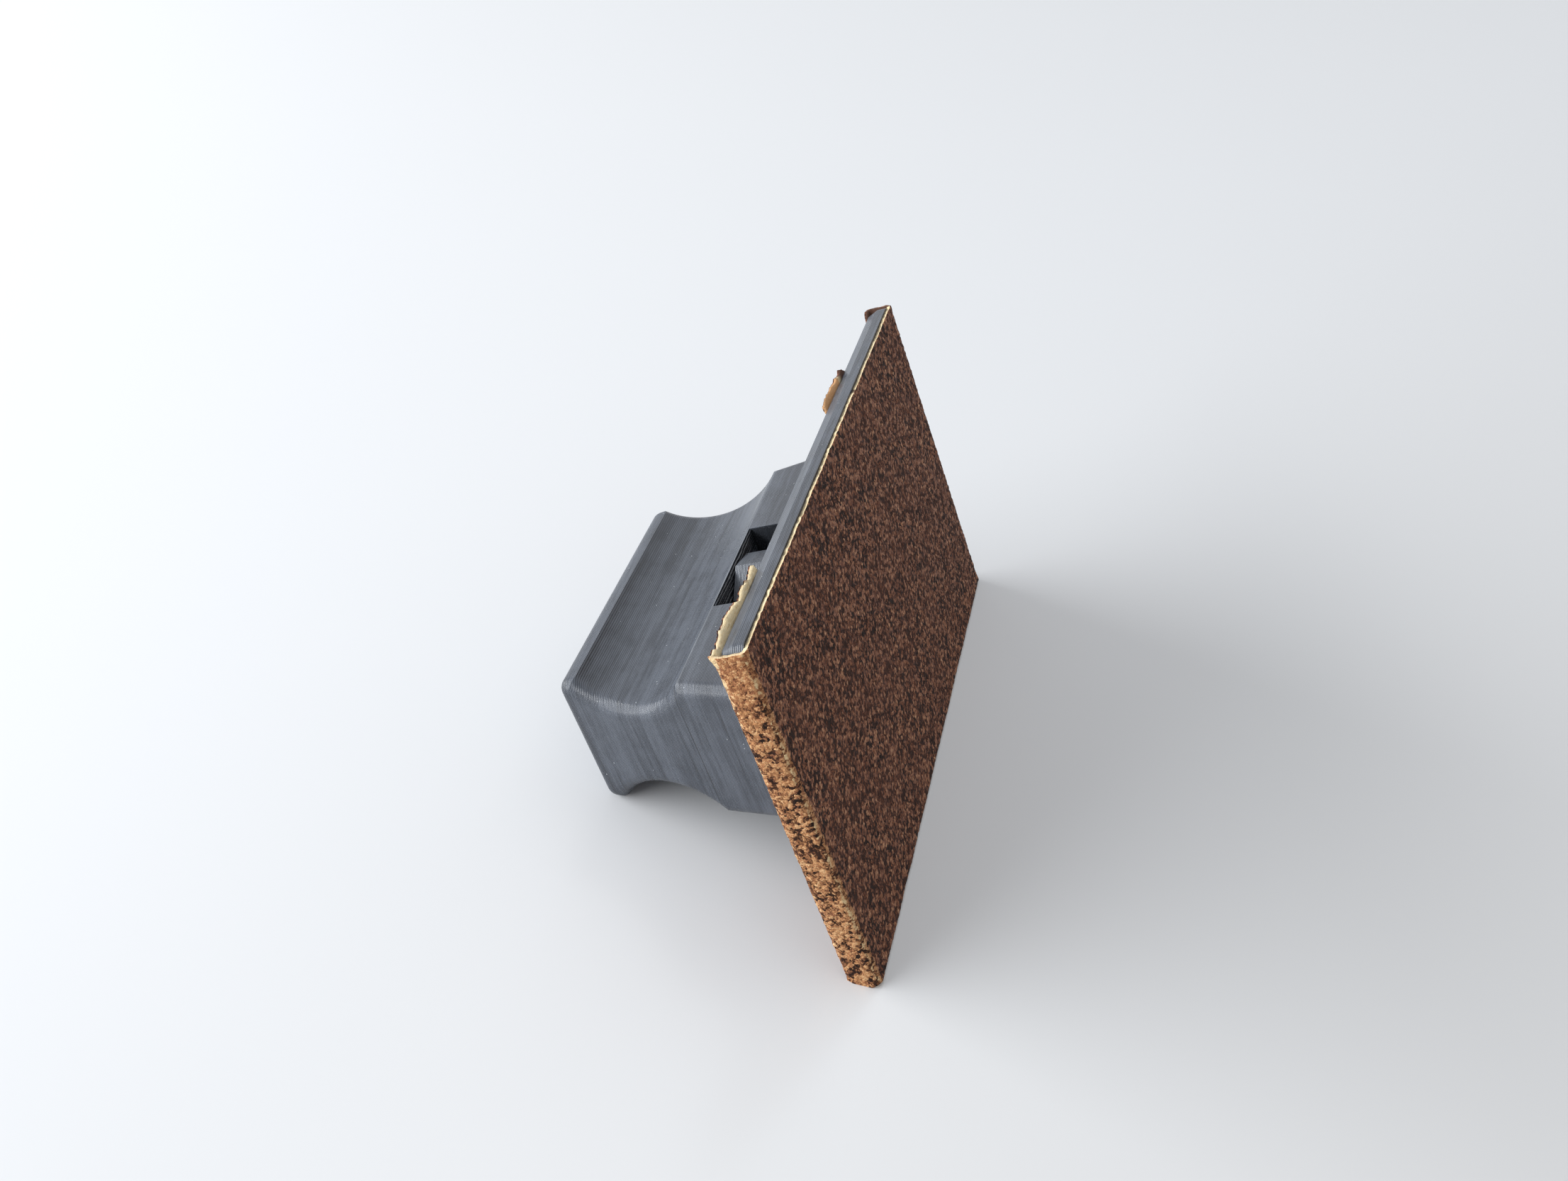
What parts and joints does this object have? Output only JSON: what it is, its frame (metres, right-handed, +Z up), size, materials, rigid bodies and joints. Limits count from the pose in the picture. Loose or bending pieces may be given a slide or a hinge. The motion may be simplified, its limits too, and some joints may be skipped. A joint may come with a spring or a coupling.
{
  "type": "sanding block",
  "caption": "Hand sanding block: a flat base plate wrapped in coarse sandpaper, with a waisted grip that locks on by a quarter turn and clamps the sheet's flaps.",
  "frame": {"origin": "middle of the abrasive face, which lies on Z = 0", "axes": "+Z up from the abrasive face to the palm face, +X along the block, short flap of the sheet at -X; the handle turns about Z"},
  "size_m": [0.1022, 0.056, 0.0435],
  "materials": {
    "plate_plastic": "satin printed plastic with fine layer lines",
    "handle_plastic": "satin printed plastic with fine layer lines",
    "abrasive_paper": "coarse brown grit on a tan paper backing"
  },
  "bodies": {
    "base": {"base_plate": "plate_plastic", "sandpaper": "abrasive_paper"},
    "handle": {"handle": "handle_plastic"}
  },
  "joints": [
    {"name": "handle_turn", "type": "hinge", "parent": "base", "child": "handle", "pos_m": [0, 0, 0], "axis": [0, 0, 1], "range_deg": [0, 90]}
  ]
}
